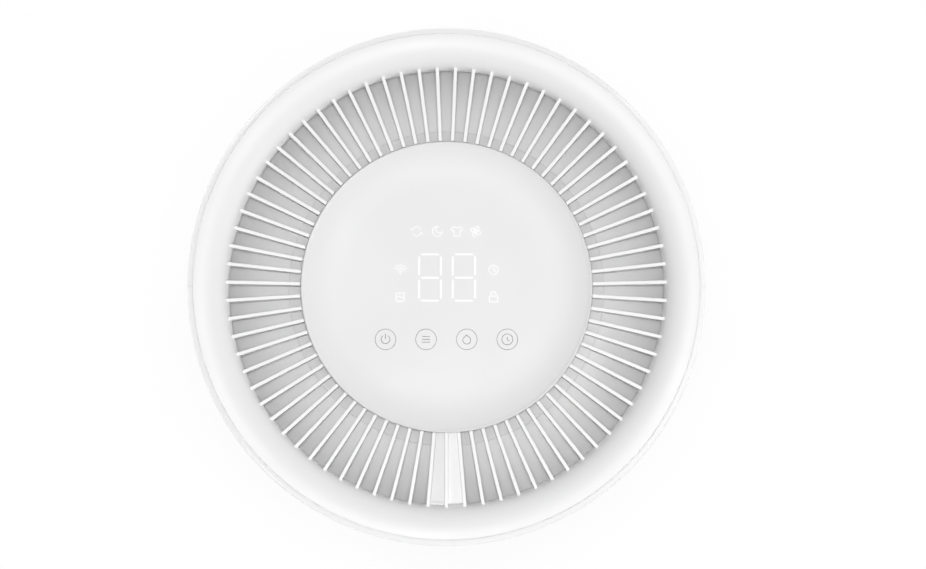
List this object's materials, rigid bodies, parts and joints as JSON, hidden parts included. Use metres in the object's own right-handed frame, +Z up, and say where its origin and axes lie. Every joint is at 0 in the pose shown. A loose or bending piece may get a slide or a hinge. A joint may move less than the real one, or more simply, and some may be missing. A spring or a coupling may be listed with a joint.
{
  "type": "room dehumidifier",
  "caption": "Round free-standing room dehumidifier: ribbed ring air outlet round a dished touch panel, pull-out water tank, rear intake grille with filter, compressor cooling and casters.",
  "frame": {"origin": "on the floor, under the middle of the body", "axes": "+Z up along the body, -Y to the front where the touch buttons and the tank are, +X to the right seen from the front"},
  "size_m": [0.3, 0.3, 0.6],
  "materials": {
    "white_shell": "fine satin",
    "white_grille": "fine satin",
    "white_panel": "smooth satin",
    "pale_cone": "satin",
    "grey_inner": "satin",
    "dark_plastic": "matt grain",
    "circuit_board": "coated",
    "black_rubber": "matt",
    "wheel_rubber": "matt",
    "motor_metal": "satin",
    "steel": "plain",
    "brass_nut": "plain",
    "copper": "drawn tube",
    "fin_aluminium": "plain",
    "black_paint": "satin",
    "filter_net": "woven",
    "clear_tank": "frosted",
    "clear_window": "clear",
    "white_inner": "satin"
  },
  "bodies": {
    "body": {"top_ring": "white_shell", "outlet_grille": "white_grille", "control_panel": "white_panel", "display_board": "circuit_board", "light_guide": "dark_plastic", "touch_pads": "black_rubber", "panel_pedestal": "pale_cone", "diffuser_cone": "pale_cone", "fan_motor": "motor_metal", "outlet_duct": "grey_inner", "fan_deck": "grey_inner", "front_housing": "white_shell", "rear_housing": "white_shell", "lower_shell": "white_shell", "hand_grips": "grey_inner", "base_tray": "dark_plastic", "base_screws": "steel", "tank_switch": "dark_plastic", "bay_wall": "grey_inner", "mid_deck": "grey_inner", "drip_tray": "grey_inner", "drain_cup": "grey_inner", "compressor": "black_paint", "compressor_mounts": "black_rubber", "compressor_bolts": "steel", "accumulator": "black_paint", "terminal_cover": "dark_plastic", "evaporator_fins": "fin_aluminium", "evaporator_tube": "copper", "condenser_fins": "fin_aluminium", "condenser_tube": "copper", "coil_plates": "steel", "coil_seal": "black_rubber", "discharge_pipe": "copper", "suction_pipe": "copper", "capillary_pipe": "copper", "control_box": "dark_plastic", "control_board": "circuit_board", "humidity_sensor": "white_inner", "cord_gland": "black_rubber"},
    "fan": {"impeller": "grey_inner", "motor_shaft": "steel", "impeller_nut": "brass_nut"},
    "tank": {"tank_body": "clear_tank", "tank_front": "white_shell", "level_window": "clear_window"},
    "float": {"float_arm": "white_inner", "tank_float": "white_inner", "float_magnet": "steel"},
    "intake": {"intake_grille": "white_grille", "filter_frame": "dark_plastic", "filter_mesh": "filter_net"},
    "caster_front_left": {"fork_front_left": "dark_plastic"},
    "roller_front_left": {"wheel_front_left": "wheel_rubber"},
    "caster_front_right": {"fork_front_right": "dark_plastic"},
    "roller_front_right": {"wheel_front_right": "wheel_rubber"},
    "caster_rear_left": {"fork_rear_left": "dark_plastic"},
    "roller_rear_left": {"wheel_rear_left": "wheel_rubber"},
    "caster_rear_right": {"fork_rear_right": "dark_plastic"},
    "roller_rear_right": {"wheel_rear_right": "wheel_rubber"}
  },
  "joints": [
    {"name": "fan_spin", "type": "hinge", "parent": "body", "child": "fan", "pos_m": [0, 0, 0.505], "axis": [0, 0, 1], "continuous": true},
    {"name": "tank_slide", "type": "slide", "parent": "body", "child": "tank", "axis": [0, -1, 0], "range_m": [0, 0.26]},
    {"name": "float_swing", "type": "hinge", "parent": "tank", "child": "float", "pos_m": [0, 0.048, 0.1398], "axis": [-1, 0, 0], "range_deg": [0, 20]},
    {"name": "intake_pull", "type": "slide", "parent": "body", "child": "intake", "axis": [0, 1, 0], "range_m": [0, 0.08]},
    {"name": "swivel_front_left", "type": "hinge", "parent": "body", "child": "caster_front_left", "pos_m": [-0.07425, -0.07425, 0.04], "axis": [0, 0, 1], "continuous": true},
    {"name": "roll_front_left", "type": "hinge", "parent": "caster_front_left", "child": "roller_front_left", "pos_m": [-0.07425, -0.06425, 0.014], "axis": [1, 0, 0], "continuous": true},
    {"name": "swivel_front_right", "type": "hinge", "parent": "body", "child": "caster_front_right", "pos_m": [0.07425, -0.07425, 0.04], "axis": [0, 0, 1], "continuous": true},
    {"name": "roll_front_right", "type": "hinge", "parent": "caster_front_right", "child": "roller_front_right", "pos_m": [0.07425, -0.06425, 0.014], "axis": [1, 0, 0], "continuous": true},
    {"name": "swivel_rear_left", "type": "hinge", "parent": "body", "child": "caster_rear_left", "pos_m": [-0.07425, 0.07425, 0.04], "axis": [0, 0, 1], "continuous": true},
    {"name": "roll_rear_left", "type": "hinge", "parent": "caster_rear_left", "child": "roller_rear_left", "pos_m": [-0.07425, 0.08425, 0.014], "axis": [1, 0, 0], "continuous": true},
    {"name": "swivel_rear_right", "type": "hinge", "parent": "body", "child": "caster_rear_right", "pos_m": [0.07425, 0.07425, 0.04], "axis": [0, 0, 1], "continuous": true},
    {"name": "roll_rear_right", "type": "hinge", "parent": "caster_rear_right", "child": "roller_rear_right", "pos_m": [0.07425, 0.08425, 0.014], "axis": [1, 0, 0], "continuous": true}
  ]
}
